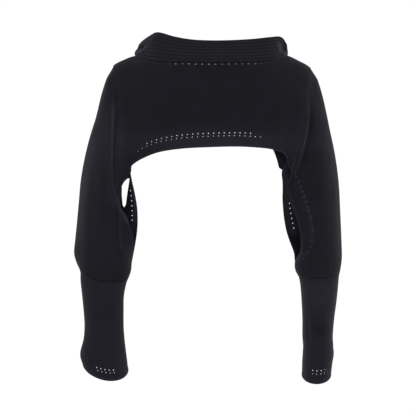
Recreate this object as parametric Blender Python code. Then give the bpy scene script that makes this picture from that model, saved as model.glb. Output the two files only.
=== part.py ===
"""A cropped pullover with long sleeves, hollow as when it is worn, seen from behind along +Y.
Tables hold garment points in drawing steps, as a grid read off the back view; step is one of
them in metres. Depths, walls and gaps are in millimetres."""
import bpy
import math
import numpy as np

step = 0.002
mm = 0.001
centre_column = 210.0
shoulder_level = 66.0

wall = 2.2
seam_gap = 0.3
cuff_seam_gap = 0.5
fold_gap = 0.7
collar_wall = 4.4
rib_count = 7
rib_rows = 3
rib_height = 1.3
collar_round = 0.04
collar_middle_column, collar_middle_depth = 211.5, 5.0
top_line_width = 0.5

back_centre_depth, back_side_depth = 104.0, 62.0
front_centre_depth, front_side_depth = 110.0, 62.0
half_body_width = 198.0
body_width_power = 2.4

panel_columns, panel_rows = 35, 13
sleeve_sections, half_girth_points = 25, 13
fan_sections = 6
cuff_sections = 13
back_sag_lean = 1.0
ease_rounds, ease_columns, ease_rows = 6, 3, 3
collar_sections, collar_inner_rows = 52, 4
dense = 60

# A row per column of the panel, left to right: hem, upper edge, its depth, roundness at the top.
back_columns = [
    # hem_x, hem_z, top_x, top_z, top_depth, roundness
    (120.2, 204.5, 113.8, 65.9, 0.0, 2.5),
    (121.6, 196.0, 118.5, 63.0, 0.0, 2.5),
    (122.3, 188.0, 123.5, 60.7, 0.0, 2.5),
    (125.0, 182.3, 129.0, 58.3, 0.0, 2.4),
    (129.2, 178.0, 134.0, 56.8, 0.0, 2.3),
    (130.0, 170.8, 137.5, 56.2, 4.0, 2.1),
    (134.3, 164.9, 142.0, 58.8, 26.0, 1.8),
    (144.3, 158.8, 154.0, 62.2, 48.0, 1.6),
    (160.0, 153.0, 171.0, 63.6, 60.0, 1.6),
    (183.0, 149.6, 191.0, 64.0, 65.0, 1.6),
    (212.0, 148.1, 212.0, 64.2, 66.0, 1.6),
    (238.0, 147.6, 233.0, 64.0, 65.0, 1.6),
    (259.0, 148.7, 253.0, 63.7, 60.0, 1.6),
    (270.0, 150.0, 270.0, 62.2, 48.0, 1.6),
    (276.0, 151.7, 281.5, 58.8, 26.0, 1.8),
    (281.5, 153.4, 285.6, 56.2, 4.0, 2.1),
    (285.8, 158.0, 290.0, 57.2, 0.0, 2.3),
    (286.6, 164.0, 295.0, 59.6, 0.0, 2.4),
    (289.3, 170.0, 300.0, 62.2, 0.0, 2.5),
    (289.8, 175.5, 305.5, 65.0, 0.0, 2.5),
    (288.3, 182.0, 310.5, 68.6, 0.0, 2.5),
]
front_columns = [
    # hem_x, hem_z, top_x, top_z, top_depth, roundness
    (130.2, 172.5, 113.8, 65.9, 0.0, 2.5),
    (130.6, 166.0, 118.5, 63.0, 0.0, 2.5),
    (131.6, 160.0, 123.5, 60.7, 0.0, 2.5),
    (134.0, 154.5, 129.0, 58.3, 0.0, 2.4),
    (138.0, 149.0, 134.0, 56.8, 0.0, 2.3),
    (144.0, 143.5, 137.5, 56.2, 4.0, 2.1),
    (152.5, 138.3, 142.5, 60.5, 30.0, 1.8),
    (164.0, 133.0, 156.0, 71.0, 56.0, 1.6),
    (178.0, 129.0, 174.0, 81.0, 72.0, 1.6),
    (195.0, 126.7, 193.0, 86.5, 79.0, 1.6),
    (211.5, 126.0, 211.5, 88.2, 81.0, 1.6),
    (228.0, 126.7, 230.0, 86.5, 79.0, 1.6),
    (244.0, 129.0, 249.0, 81.0, 72.0, 1.6),
    (256.0, 133.0, 267.0, 71.0, 56.0, 1.6),
    (264.5, 138.3, 280.5, 60.5, 30.0, 1.8),
    (270.5, 143.5, 285.6, 56.2, 4.0, 2.1),
    (274.0, 149.5, 290.0, 57.2, 0.0, 2.3),
    (276.5, 155.5, 295.0, 59.6, 0.0, 2.4),
    (278.4, 161.5, 300.0, 62.2, 0.0, 2.5),
    (280.0, 167.5, 305.5, 65.0, 0.0, 2.5),
    (284.5, 170.0, 310.5, 68.6, 0.0, 2.5),
]
left_seam_place, right_seam_place = 0.0, 19.8
neck_first, neck_last, neck_middle = 5, 15, 10
fold_reach = 5.0
seam_reach = 0.4
body_middle_level = 150.0
collar_back_lift, collar_front_lift, collar_corner_reach = 1.6, 2.3, 25.0

# How far the armhole folds bow sideways at evenly spaced heights, from the hem up.
back_fold_bows = [
    # left_bow, right_bow
    (0.0, 0.0),
    (-4.4, 4.0),
    (-5.4, 5.8),
    (-4.6, 7.4),
    (-3.0, 8.3),
    (-1.2, 7.2),
    (0.0, 4.4),
    (0.4, 1.2),
    (0.3, 0.0),
    (0.0, 0.0),
]
front_fold_bows = [
    # left_bow, right_bow
    (0.0, 0.0),
    (-4.0, 6.0),
    (-6.0, 9.0),
    (-5.0, 8.0),
    (-2.0, 4.0),
    (0.0, 0.0),
]

# A row per section from the armhole down: outer point, the two slit edges, how far each edge
# has turned in (90 is open to the side, 0 is closed), depths and the sag of the back.
sleeve_left_sections = [
    # out_x, out_z, back_x, back_z, back_turn, front_x, front_z, front_turn,
    # back_d, front_d, sag, power, bow, back_rise, front_rise
    (107.4, 76.5, 120.8, 205.8, 90.0, 130.5, 177.0, 90.0, 72.0, 72.0, 0.0, 2.5, 1.25, 4.0, 12.0),
    (101.9, 95.0, 121.4, 207.2, 90.0, 131.8, 183.0, 90.0, 73.0, 73.0, 0.0, 2.45, 1.6, 4.0, 10.0),
    (96.7, 117.0, 122.3, 208.6, 90.0, 133.5, 190.0, 90.0, 73.0, 73.0, 0.0, 2.4, 1.9, 3.0, 8.0),
    (90.8, 136.0, 123.4, 210.2, 90.0, 134.9, 197.0, 88.0, 72.0, 72.0, 0.0, 2.35, 2.1, 2.0, 6.0),
    (85.8, 156.0, 124.8, 212.0, 88.0, 136.1, 204.0, 84.0, 71.0, 71.0, 0.0, 2.3, 2.1, 1.0, 4.0),
    (81.4, 180.0, 126.4, 214.4, 84.0, 136.9, 212.0, 76.0, 69.5, 69.0, 0.0, 2.3, 1.8, 0.0, 2.0),
    (79.4, 202.0, 128.6, 219.0, 74.0, 137.1, 219.0, 62.0, 67.5, 67.0, 0.0, 2.2, 1.3, 0.0, 0.0),
    (77.6, 222.0, 131.4, 228.0, 58.0, 136.6, 229.0, 48.0, 65.0, 63.0, 0.0, 2.1, 0.7, 0.0, 0.0),
    (75.8, 240.0, 134.0, 241.0, 38.0, 134.9, 241.0, 30.0, 60.0, 58.0, 0.0, 2.1, 0.2, 0.0, 0.0),
    (74.7, 253.0, 132.6, 253.0, 16.0, 132.7, 253.0, 14.0, 54.0, 52.0, 1.0, 2.0, 0.0, 0.0, 0.0),
    (77.2, 262.5, 131.2, 262.5, 0.3, 130.9, 262.5, 0.3, 49.0, 48.0, 3.0, 2.0, 0.0, 0.0, 0.0),
    (80.0, 268.5, 130.2, 271.5, 0.3, 129.9, 271.5, 0.3, 44.0, 43.0, 5.0, 2.0, 0.0, 0.0, 0.0),
    (81.2, 273.0, 126.2, 281.6, 0.3, 126.2, 281.6, 0.3, 34.0, 34.0, 7.0, 2.0, 0.0, 0.0, 0.0),
]
sleeve_right_sections = [
    # out_x, out_z, back_x, back_z, back_turn, front_x, front_z, front_turn,
    # back_d, front_d, sag, power, bow, back_rise, front_rise
    (317.0, 79.5, 286.0, 183.0, 90.0, 282.3, 174.0, 90.0, 57.5, 57.5, 0.0, 2.5, 1.1, 18.0, 27.0),
    (321.4, 94.0, 285.6, 186.0, 90.0, 283.2, 182.0, 90.0, 59.5, 59.5, 0.0, 2.45, 1.15, 15.0, 24.0),
    (325.6, 112.0, 286.0, 189.0, 90.0, 283.3, 190.0, 90.0, 62.0, 62.0, 0.0, 2.4, 1.15, 12.0, 20.0),
    (329.2, 130.0, 286.8, 192.4, 90.0, 283.1, 198.0, 90.0, 64.5, 65.0, 0.0, 2.35, 1.1, 9.0, 16.0),
    (333.2, 148.0, 288.0, 196.4, 88.0, 283.5, 205.5, 88.0, 67.0, 67.0, 0.0, 2.3, 0.95, 6.0, 12.0),
    (336.4, 167.0, 289.8, 201.8, 85.0, 284.1, 213.0, 84.0, 68.0, 68.0, 0.0, 2.3, 0.75, 4.0, 8.0),
    (338.6, 188.0, 292.4, 209.4, 80.0, 285.1, 221.0, 76.0, 68.0, 68.0, 0.0, 2.3, 0.5, 2.0, 4.0),
    (339.6, 210.0, 295.6, 218.6, 72.0, 287.1, 231.0, 64.0, 67.0, 66.0, 0.0, 2.2, 0.2, 0.0, 2.0),
    (340.4, 228.0, 298.8, 229.0, 62.0, 290.1, 240.0, 50.0, 65.0, 63.0, 0.0, 2.1, 0.0, 0.0, 0.0),
    (341.0, 243.0, 300.8, 241.5, 46.0, 293.5, 248.5, 30.0, 61.0, 59.0, 0.0, 2.0, 0.0, 0.0, 0.0),
    (341.4, 254.0, 300.2, 252.0, 26.0, 295.3, 254.5, 12.0, 57.0, 56.0, 0.0, 2.0, 0.0, 0.0, 0.0),
    (340.8, 262.5, 295.6, 261.5, 0.3, 295.6, 261.5, 0.3, 53.0, 53.0, 1.0, 2.0, 0.0, 0.0, 0.0),
    (339.7, 269.5, 295.8, 269.5, 0.3, 295.8, 269.5, 0.3, 48.0, 48.0, 2.0, 2.0, 0.0, 0.0, 0.0),
    (338.2, 276.3, 299.4, 276.5, 0.3, 299.4, 276.5, 0.3, 40.0, 40.0, 3.0, 2.0, 0.0, 0.0, 0.0),
]

# The slit open to the daylight in the front of the left sleeve, beside its border.
slit_outline = [
    # x, z
    (119.5, 178.5),
    (124.5, 176.0),
    (128.6, 176.0),
    (127.6, 181.0),
    (126.5, 188.0),
    (125.1, 197.0),
    (123.9, 206.0),
    (123.0, 212.0),
    (119.5, 210.0),
]
slit_depths = (35.0, 130.0)

# A row per ring from the elbow seam to the wrist: both side points, depth, sag of the back.
cuff_left_rings = [
    # left_x, left_z, right_x, right_z, depth, sag
    (81.2, 273.0, 126.2, 281.6, 34.0, 7.0),
    (81.2, 281.0, 124.8, 287.0, 33.0, 3.0),
    (82.6, 294.0, 123.2, 297.0, 32.0, 0.0),
    (84.2, 310.0, 123.0, 310.0, 31.0, 0.0),
    (85.2, 326.0, 123.0, 325.0, 31.0, 0.0),
    (84.0, 340.0, 123.8, 338.0, 31.0, 2.0),
    (81.3, 350.0, 125.2, 350.0, 32.0, 8.0),
    (80.6, 357.5, 126.4, 360.0, 33.0, 16.0),
    (82.6, 364.5, 127.6, 370.5, 33.0, 26.0),
]
cuff_right_rings = [
    # left_x, left_z, right_x, right_z, depth, sag
    (299.4, 276.5, 338.2, 276.3, 40.0, 3.0),
    (300.9, 284.0, 337.6, 284.0, 39.0, 1.0),
    (302.2, 300.0, 336.0, 300.0, 40.0, 0.0),
    (303.0, 318.0, 333.6, 318.0, 40.0, 0.0),
    (303.0, 335.0, 332.2, 335.0, 40.0, 0.0),
    (303.8, 346.0, 332.6, 347.0, 40.0, 2.0),
    (303.4, 353.0, 333.2, 353.5, 40.0, 6.0),
    (302.8, 362.0, 331.8, 362.0, 40.0, 12.0),
    (302.6, 375.0, 330.2, 374.5, 39.0, 17.0),
]

# A row per upper-edge point of the collar, from the middle of the back round by the right.
collar_tops = [
    # top_x, top_z, top_depth, dent
    (212.0, 42.92, -76.0, 0.0),
    (233.0, 42.48, -74.0, 0.0),
    (253.0, 41.18, -69.0, 0.0),
    (270.0, 39.04, -57.0, 0.0),
    (279.5, 38.2, -36.0, 2.0),
    (284.4, 43.0, -14.0, 6.0),
    (285.0, 47.0, 4.0, 7.0),
    (281.4, 51.0, 30.0, 2.0),
    (266.0, 57.5, 60.0, 0.0),
    (248.0, 64.0, 78.0, 0.0),
    (230.0, 67.6, 86.0, 0.0),
    (211.5, 69.0, 88.0, 0.0),
    (193.0, 67.6, 86.0, 0.0),
    (175.0, 64.0, 78.0, 0.0),
    (158.0, 56.5, 60.0, 0.0),
    (143.0, 49.0, 30.0, 0.0),
    (139.4, 46.0, 5.0, 4.0),
    (143.0, 41.8, -14.0, 5.0),
    (150.5, 37.0, -36.0, 2.0),
    (159.0, 34.32, -56.0, 0.0),
    (174.0, 38.56, -68.0, 0.0),
    (192.0, 41.88, -74.0, 0.0),
]


def clear_scene():
    for item in list(bpy.data.objects):
        bpy.data.objects.remove(item)


def material(name, colour, roughness):
    made = bpy.data.materials.new(name)
    made.use_nodes = True
    shader = made.node_tree.nodes["Principled BSDF"]
    shader.inputs["Base Color"].default_value = (*colour, 1.0)
    shader.inputs["Roughness"].default_value = roughness
    shader.inputs["Metallic"].default_value = 0.0
    return made


def along(x):
    """Millimetres to the right of the middle of the back."""
    return (x - centre_column) * step / mm


def up(z):
    """Millimetres above the level of the shoulders."""
    return (shoulder_level - z) * step / mm


def spline(rows, place, closed=False):
    """The row at a place counted in rows, on a smooth curve through all rows."""
    count = len(rows)
    start = int(math.floor(place))
    if not closed:
        start = min(max(start, 0), count - 2)
    part = place - start

    def row(k):
        if closed:
            return np.array(rows[k % count], float)
        if k < 0:
            return 2 * row(0) - row(1)
        if k >= count:
            return 2 * row(count - 1) - row(count - 2)
        return np.array(rows[k], float)

    a, b, c, d = row(start - 1), row(start), row(start + 1), row(start + 2)
    bend = 2 * a - 5 * b + 4 * c - d
    turn = 3 * b - a - 3 * c + d
    return b + 0.5 * part * (c - a + part * (bend + part * turn))


def evenly(points, count):
    """The same line with its points spaced evenly along it."""
    points = np.asarray(points)
    steps = np.linalg.norm(np.diff(points, axis=0), axis=1)
    length = np.concatenate([[0.0], np.cumsum(steps)])
    places = np.linspace(0.0, length[-1], count)
    return np.stack([np.interp(places, length, points[:, k]) for k in range(3)], axis=1)


def panel_line(columns, bows, centre_depth, side_depth, place, side, count):
    """One column of a panel from its hem to its upper edge; side is -1 behind, 1 in front."""
    hem_x, hem_z, top_x, top_z, top_depth, roundness = spline(columns, place)
    top_depth = max(top_depth, 0.0)
    last = len(columns) - 1
    left_pull = max(0.0, 1.0 - place / fold_reach) ** 2
    right_pull = max(0.0, 1.0 - (last - place) / fold_reach) ** 2
    power = max(2.0, roundness)
    line = []
    for k in range(dense + 1):
        angle = 0.5 * math.pi * k / dense
        height = math.sin(angle) ** (2.0 / power)
        left_bow, right_bow = spline(bows, height * (len(bows) - 1))
        x = hem_x + (top_x - hem_x) * height + left_bow * left_pull + right_bow * right_pull
        z = hem_z + (top_z - hem_z) * height
        reach = min(1.0, abs(along(x)) / half_body_width) ** body_width_power
        full = centre_depth + (side_depth - centre_depth) * reach
        fullness = (1.0 - height ** power) ** (1.0 / roundness)
        line.append((along(x), side * (top_depth + (full - top_depth) * fullness), up(z)))
    return evenly(line, count)


def back_line(place, count):
    return panel_line(back_columns, back_fold_bows, back_centre_depth, back_side_depth,
                      place, -1.0, count)


def front_line(place, count):
    return panel_line(front_columns, front_fold_bows, front_centre_depth, front_side_depth,
                      place, 1.0, count)


def panel_grid(line_at, columns, side):
    """Rows of points from hem to upper edge, the upper edge drawn back for the seam."""
    grid = []
    for k in range(panel_columns):
        place = (len(columns) - 1) * k / (panel_columns - 1)
        line = line_at(place, panel_rows)
        line[-1][1] += side * seam_gap / 2
        grid.append(line)
    return eased(np.array(grid))


def eased(grid):
    """Evens out the depths from column to column, but not near the seams that must still meet."""
    columns, rows = grid.shape[:2]
    from_side = np.minimum(np.arange(columns), np.arange(columns)[::-1])
    from_top = np.arange(rows)[::-1]
    share = np.clip(from_side / ease_columns - 1.0, 0.0, 1.0)[:, None]
    share = share * np.clip(from_top / ease_rows - 1.0, 0.0, 1.0)[None, :]
    for _ in range(ease_rounds):
        depth = grid[..., 1].copy()
        depth[1:-1] = (grid[:-2, :, 1] + 2.0 * grid[1:-1, :, 1] + grid[2:, :, 1]) / 4.0
        grid[..., 1] += share * (depth - grid[..., 1])
    return grid


def normals(grid, closed=False):
    """Unit directions square to a grid of points."""
    if closed:
        first = np.roll(grid, -1, axis=0) - np.roll(grid, 1, axis=0)
    else:
        first = np.gradient(grid, axis=0)
    second = np.gradient(grid, axis=1)
    square = np.cross(first, second)
    square /= np.linalg.norm(square, axis=2, keepdims=True)
    on_top = np.abs(grid[..., 1]) < top_line_width
    square[on_top, 1] = 0.0
    return square / np.linalg.norm(square, axis=2, keepdims=True)


def seam_line(line_at, place):
    """One armhole line of a panel from its hem up, with the directions square to the panel."""
    near = max(place - seam_reach, 0.0)
    far = near + 2.0 * seam_reach
    lines = np.array([line_at(k, half_girth_points) for k in (near, place, far)])
    square = normals(lines)[1]
    if np.sum(square * (lines[1] - np.array([0.0, 0.0, up(body_middle_level)]))) < 0.0:
        square = -square
    return lines[1], square


def droop(behind):
    """Share of a sag at a place round a sleeve: all behind, none at the sides, raised in front."""
    return (1.0 - back_sag_lean) * behind ** 2 + back_sag_lean * behind


def half_section(row, behind, bow_side, count):
    """Half a sleeve section from a slit edge to the outer point."""
    (out_x, out_z, back_x, back_z, back_turn, front_x, front_z, front_turn,
     back_d, front_d, sag, power, bow, back_rise, front_rise) = row
    if behind:
        edge_x, edge_z, turn, depth, side = back_x, back_z, back_turn, back_d, -1.0
        bows, rise = back_fold_bows, back_rise
    else:
        edge_x, edge_z, turn, depth, side = front_x, front_z, front_turn, front_d, 1.0
        bows, rise = front_fold_bows, front_rise
    first = math.radians(turn)
    line = []
    for k in range(dense + 1):
        angle = first + (math.pi - first) * k / dense
        share = (math.cos(first) - math.cos(angle)) / (1.0 + math.cos(first))
        fullness = (1.0 - abs(math.cos(angle)) ** power) ** (1.0 / power)
        x = along(edge_x) + (along(out_x) - along(edge_x)) * share
        x += bow * spline(bows, share * (len(bows) - 1))[bow_side] * step / mm
        z = up(edge_z) + (up(out_z) - up(edge_z)) * share - sag * droop(-side * math.sin(angle))
        reach = depth + rise * max(1.0 - share, 0.0) ** 4
        line.append((x, side * reach * fullness, z))
    return evenly(line, count)


def sleeve_grid(sections, place, outward):
    """Sections from the armhole to the elbow; outward is 1 over the body and -1 under it."""
    behind, behind_out = seam_line(back_line, place)
    before, before_out = seam_line(front_line, place)
    rim = np.concatenate([behind, before[-2::-1]])
    away = np.concatenate([behind_out, before_out[-2::-1]])
    lines = [rim + outward * (wall + fold_gap) * away]
    bow_side = 0 if outward > 0 else 1
    for k in range(sleeve_sections - 1):
        row = spline(sections, (len(sections) - 1) * k / (sleeve_sections - 2))
        back_half = half_section(row, True, bow_side, half_girth_points)
        front_half = half_section(row, False, bow_side, half_girth_points)[::-1]
        lines.append(np.concatenate([back_half, front_half[1:]]))
    return np.array(lines)


def ring(row, inner_side):
    """A round of a cuff, from its inner side point by the back to its outer one and round."""
    left_x, left_z, right_x, right_z, depth, sag = row
    line = []
    for k in range(2 * dense + 1):
        angle = math.pi * k / dense
        share = 0.5 - 0.5 * inner_side * math.cos(angle)
        x = along(left_x) + (along(right_x) - along(left_x)) * share
        behind = math.sin(angle)
        z = up(left_z) + (up(right_z) - up(left_z)) * share
        z -= sag * droop(behind)
        line.append((x, -depth * behind, z))
    halves = [evenly(line[:dense + 1], half_girth_points),
              evenly(line[dense:], half_girth_points)]
    return np.concatenate([halves[0][:-1], halves[1][:-1]])


def cuff_grid(rings, inner_side):
    """Rings from the elbow seam to the wrist; inner_side is -1 where the body is to the right."""
    lines = []
    for k in range(cuff_sections):
        row = spline(rings, (len(rings) - 1) * k / (cuff_sections - 1))
        lines.append(ring(row, inner_side))
    grid = np.array(lines).transpose(1, 0, 2)
    grid[:, 0, 2] -= cuff_seam_gap
    return grid


def level(lift):
    """The same offsets turned level, so that two walls meet face to face at a seam."""
    flat = lift * np.array([1.0, 1.0, 0.0])
    return flat / np.linalg.norm(flat, axis=1, keepdims=True) * wall / 2


def mesh_object(name, points, faces, surface):
    mesh = bpy.data.meshes.new(name)
    mesh.from_pydata([tuple(p * mm) for p in points], [], faces)
    mesh.update()
    made = bpy.data.objects.new(name, mesh)
    bpy.context.collection.objects.link(made)
    made.data.materials.append(surface)
    return made


def cloth_wall(name, grid, surface, kind):
    """A solid wall about a grid of middle points; a cuff's last line is joined to its first."""
    closed = kind == "cuff"
    lines, count = grid.shape[:2]
    lift = normals(grid, closed) * wall / 2
    if kind == "panel":
        lift[:, -1] = (0.0, 0.0, wall / 2 * np.sign(lift[lines // 2, -1, 2]))
    elif kind == "sleeve":
        lift[-1] = level(lift[-1])
        lift[:fan_sections, 0] = lift[:fan_sections, 1]
        lift[:fan_sections, -1] = lift[:fan_sections, -2]
    else:
        lift[:, 0] = level(lift[:, 0])
    points = np.concatenate([(grid + lift).reshape(-1, 3), (grid - lift).reshape(-1, 3)])
    below = lines * count
    faces = []
    spans = lines if closed else lines - 1
    for i in range(spans):
        near, far = i * count, (i + 1) % lines * count
        for j in range(count - 1):
            a, b, c, d = near + j, far + j, far + j + 1, near + j + 1
            faces.append((a, b, c, d))
            faces.append((a + below, d + below, c + below, b + below))
        faces.append((near, near + below, far + below, far))
        tip = count - 1
        faces.append((near + tip, far + tip, far + tip + below, near + tip + below))
    if not closed:
        tip = (lines - 1) * count
        for j in range(count - 1):
            faces.append((j, j + 1, j + 1 + below, j + below))
            faces.append((tip + j, tip + j + below, tip + j + 1 + below, tip + j + 1))
    return mesh_object(name, points, faces, surface)


def collar_profile():
    """Height share, offset across the wall and rib share for one round of the collar."""
    profile = []
    outer_rows = rib_count * rib_rows
    straight = 1.0 - collar_round
    for k in range(outer_rows + 1):
        profile.append((straight * k / outer_rows, 0.5, 1.0 if k % rib_rows else 0.0))
    profile.append((1.0, 0.25, 0.0))
    profile.append((1.0, -0.25, 0.0))
    for k in range(collar_inner_rows + 1):
        profile.append((straight * (1.0 - k / collar_inner_rows), -0.5, 0.0))
    return profile


def neck_loop():
    """The neck seam round both panels, a point for each row of the collar's table."""
    behind = [(c[2], c[3], -c[4]) for c in back_columns]
    before = [(c[2], c[3], c[4]) for c in front_columns]
    right = behind[neck_middle:neck_last + 1]
    round_front = before[neck_last:neck_first - 1:-1]
    left = behind[neck_first:neck_middle]
    return right + round_front + left


def collar(surface):
    """A folded band standing on the neck seam, ribbed round its outer face."""
    profile = collar_profile()
    count = len(profile)
    loop = neck_loop()
    points = []
    middle = np.array([along(collar_middle_column), collar_middle_depth, 0.0])
    for k in range(collar_sections):
        place = len(loop) * k / collar_sections
        base_x, base_z, base_depth = spline(loop, place, closed=True)
        top_x, top_z, top_depth, dent = spline(collar_tops, place, closed=True)
        front_share = min(max(0.5 + base_depth / collar_corner_reach, 0.0), 1.0)
        lift = collar_back_lift + (collar_front_lift - collar_back_lift) * front_share
        base = np.array([along(base_x), base_depth, up(base_z) + lift])
        top = np.array([along(top_x), top_depth, up(top_z)])
        away = (base - middle) * np.array([1.0, 1.0, 0.0])
        away /= np.linalg.norm(away)
        for rise, across, ribbed in profile:
            hollow = max(dent, 0.0) * math.sin(math.pi * rise) ** 2
            out = across * collar_wall + ribbed * rib_height - hollow
            points.append(base + (top - base) * rise + away * out)
    faces = []
    for k in range(collar_sections):
        near, far = k * count, (k + 1) % collar_sections * count
        for j in range(count):
            nxt = (j + 1) % count
            faces.append((near + j, far + j, far + nxt, near + nxt))
    return mesh_object("collar", points, faces, surface)


def cut_slit(sleeve):
    """Cuts the slit through the front of a sleeve only."""
    points = np.array([(along(x), depth, up(z)) for depth in slit_depths
                       for x, z in slit_outline])
    count = len(slit_outline)
    faces = [tuple(range(count)), tuple(range(2 * count - 1, count - 1, -1))]
    for j in range(count):
        nxt = (j + 1) % count
        faces.append((j, j + count, nxt + count, nxt))
    cutter = mesh_object("slit_cutter", points, faces, sleeve.data.materials[0])
    outward_faces(cutter)
    cutter.hide_render = True
    cutter.display_type = "WIRE"
    cut = sleeve.modifiers.new("slit", "BOOLEAN")
    cut.operation = "DIFFERENCE"
    cut.solver = "EXACT"
    cut.object = cutter


def outward_faces(made):
    """Turns every wall so that its faces look out of the solid."""
    mesh = made.data
    volume = 0.0
    mesh.calc_loop_triangles()
    for triangle in mesh.loop_triangles:
        a, b, c = (mesh.vertices[v].co for v in triangle.vertices)
        volume += a.dot(b.cross(c)) / 6.0
    if volume < 0.0:
        mesh.flip_normals()
    return abs(volume)


def build():
    clear_scene()
    knit = material("fine_knit", (0.012, 0.011, 0.015), 0.9)
    rib = material("ribbed_knit", (0.014, 0.013, 0.017), 0.9)
    cuff_knit = material("cuff_knit", (0.012, 0.012, 0.015), 0.9)
    made = [
        cloth_wall("back", panel_grid(back_line, back_columns, -1.0), knit, "panel"),
        cloth_wall("front", panel_grid(front_line, front_columns, 1.0), knit, "panel"),
        cloth_wall("sleeve_left",
                   sleeve_grid(sleeve_left_sections, left_seam_place, 1.0), knit, "sleeve"),
        cloth_wall("sleeve_right",
                   sleeve_grid(sleeve_right_sections, right_seam_place, -1.0), knit, "sleeve"),
        cloth_wall("cuff_left", cuff_grid(cuff_left_rings, -1.0), cuff_knit, "cuff"),
        cloth_wall("cuff_right", cuff_grid(cuff_right_rings, 1.0), cuff_knit, "cuff"),
        collar(rib),
    ]
    for piece in made:
        volume = outward_faces(piece)
        print(piece.name, len(piece.data.loop_triangles), "triangles", round(volume * 1e6, 1), "cm3")
    cut_slit(made[2])


build()
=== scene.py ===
import bpy
import math
import numpy as np
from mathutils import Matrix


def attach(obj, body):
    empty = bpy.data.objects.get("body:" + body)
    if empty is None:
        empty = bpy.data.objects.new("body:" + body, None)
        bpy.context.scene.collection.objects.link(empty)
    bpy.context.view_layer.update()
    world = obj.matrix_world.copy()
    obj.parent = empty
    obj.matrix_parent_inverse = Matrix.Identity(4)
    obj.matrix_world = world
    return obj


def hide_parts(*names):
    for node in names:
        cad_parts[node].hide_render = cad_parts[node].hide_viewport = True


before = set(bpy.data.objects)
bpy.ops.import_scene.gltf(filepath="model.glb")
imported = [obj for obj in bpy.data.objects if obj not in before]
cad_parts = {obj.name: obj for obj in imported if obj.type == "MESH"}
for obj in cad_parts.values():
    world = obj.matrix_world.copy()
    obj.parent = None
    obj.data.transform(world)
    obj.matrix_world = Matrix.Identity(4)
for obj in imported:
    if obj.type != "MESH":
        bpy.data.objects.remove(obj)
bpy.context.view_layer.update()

# The garment is drawn in steps of a view 416 steps wide; the cloth is then made in millimetres.
drawing = {"step": 2.0, "middleX": 210.0, "shoulderZ": 66.0}
cloth = {"thickness": 2.0, "push": 0.45, "under": 2.9, "subdivisions": 1, "layerBlend": 16.0}
# a finished edge is a little thicker than the cloth, and a painted highlight runs along it
hem = {"roll": 0.8, "rollReach": 2.6, "tone": 0.32, "toneReach": 3.4}
eyelets = {"radius": 0.82, "small": 0.55, "neck": 1.0, "room": 2.1,
           "pitch": 10.4, "neckPitch": 13.2, "cuffPitch": 8.5}
# distances of the grid's rows from a hem, and which of them carry the eyelets
backBorder = {"rows": [0, 1, 3.5, 7.5, 11.5, 15.5, 18.7, 21.7, 24.6, 27.6, 30.6, 34, 38.6],
              "large": 9, "small": 7}


def across(x):
    return (x - drawing["middleX"]) * drawing["step"]


def upward(z):
    return (drawing["shoulderZ"] - z) * drawing["step"]


def spline(rows, place, closed=False):
    count = len(rows)
    start = int(math.floor(place))
    if not closed:
        start = min(max(start, 0), count - 2)
    part = place - start

    def row(k):
        if closed:
            return np.array(rows[k % count], float)
        if k < 0:
            return 2 * row(0) - row(1)
        if k >= count:
            return 2 * row(count - 1) - row(count - 2)
        return np.array(rows[k], float)

    a, b, c, d = row(start - 1), row(start), row(start + 1), row(start + 2)
    bend = 2 * a - 5 * b + 4 * c - d
    turn = 3 * b - a - 3 * c + d
    return b + 0.5 * part * (c - a + part * (bend + part * turn))


def lengthsAlong(points):
    steps = np.linalg.norm(np.diff(points, axis=0), axis=1)
    return np.concatenate([[0.0], np.cumsum(steps)])


def runAlong(grid, axis):
    # how far each point of a grid lies from the grid's first line
    steps = np.linalg.norm(np.diff(grid, axis=axis), axis=2)
    start = np.zeros_like(np.take(grid, [0], axis=axis)[..., 0])
    return np.concatenate([start, np.cumsum(steps, axis=axis)], axis=axis)


def atLengths(points, places):
    points = np.asarray(points)
    length = lengthsAlong(points)
    return np.stack([np.interp(places, length, points[:, k]) for k in range(3)], axis=1)


def smoothStep(value, low, high):
    part = np.clip((value - low) / (high - low), 0.0, 1.0)
    return part * part * (3.0 - 2.0 * part)


def outwardOf(grid, middle, closed=False):
    # directions square to the cloth, evened out where lines of the grid run together
    if closed:
        first = np.roll(grid, -1, axis=0) - np.roll(grid, 1, axis=0)
    else:
        first = np.gradient(grid, axis=0)
    square = np.cross(first, np.gradient(grid, axis=1))
    square /= np.maximum(np.linalg.norm(square, axis=2, keepdims=True), 1e-6)
    for _ in range(2):
        wide = np.pad(square, ((1, 1), (1, 1), (0, 0)), mode="edge")
        if closed:
            wide[0], wide[-1] = wide[-2], wide[1]
        square = sum(wide[i:i + square.shape[0], j:j + square.shape[1]]
                     for i in range(3) for j in range(3))
        square /= np.maximum(np.linalg.norm(square, axis=2, keepdims=True), 1e-6)
    if np.sum(square * (grid - middle)) < 0.0:
        square = -square
    return square


def drawnAt(grid):
    x = grid[..., 0] / drawing["step"] + drawing["middleX"]
    z = drawing["shoulderZ"] - grid[..., 2] / drawing["step"]
    return x, z


def softCreases(grid, outward, creases):
    # troughs and ridges, listed one by one, each with its own length, bend, spread and rise
    x, z = drawnAt(grid)
    lift = np.zeros(x.shape)
    for startX, startZ, endX, endZ, bend, spread, rise, side in creases:
        dx, dz = endX - startX, endZ - startZ
        length = math.hypot(dx, dz)
        part = ((x - startX) * dx + (z - startZ) * dz) / length ** 2
        away = ((z - startZ) * dx - (x - startX) * dz) / length - 4.0 * bend * part * (1.0 - part)
        fade = np.sin(math.pi * np.clip(part, 0.0, 1.0)) ** 0.7
        share = np.clip(0.5 + side * grid[..., 1] / cloth["layerBlend"], 0.0, 1.0)
        lift += rise * np.exp(-(away / spread) ** 2) * fade * share
    return lift


def hemRoll(fromEdge):
    return hem["roll"] * np.exp(-(fromEdge / hem["rollReach"]) ** 2)


def hemHighlight(fromEdge):
    return hem["tone"] * np.exp(-(fromEdge / hem["toneReach"]) ** 2)


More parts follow.
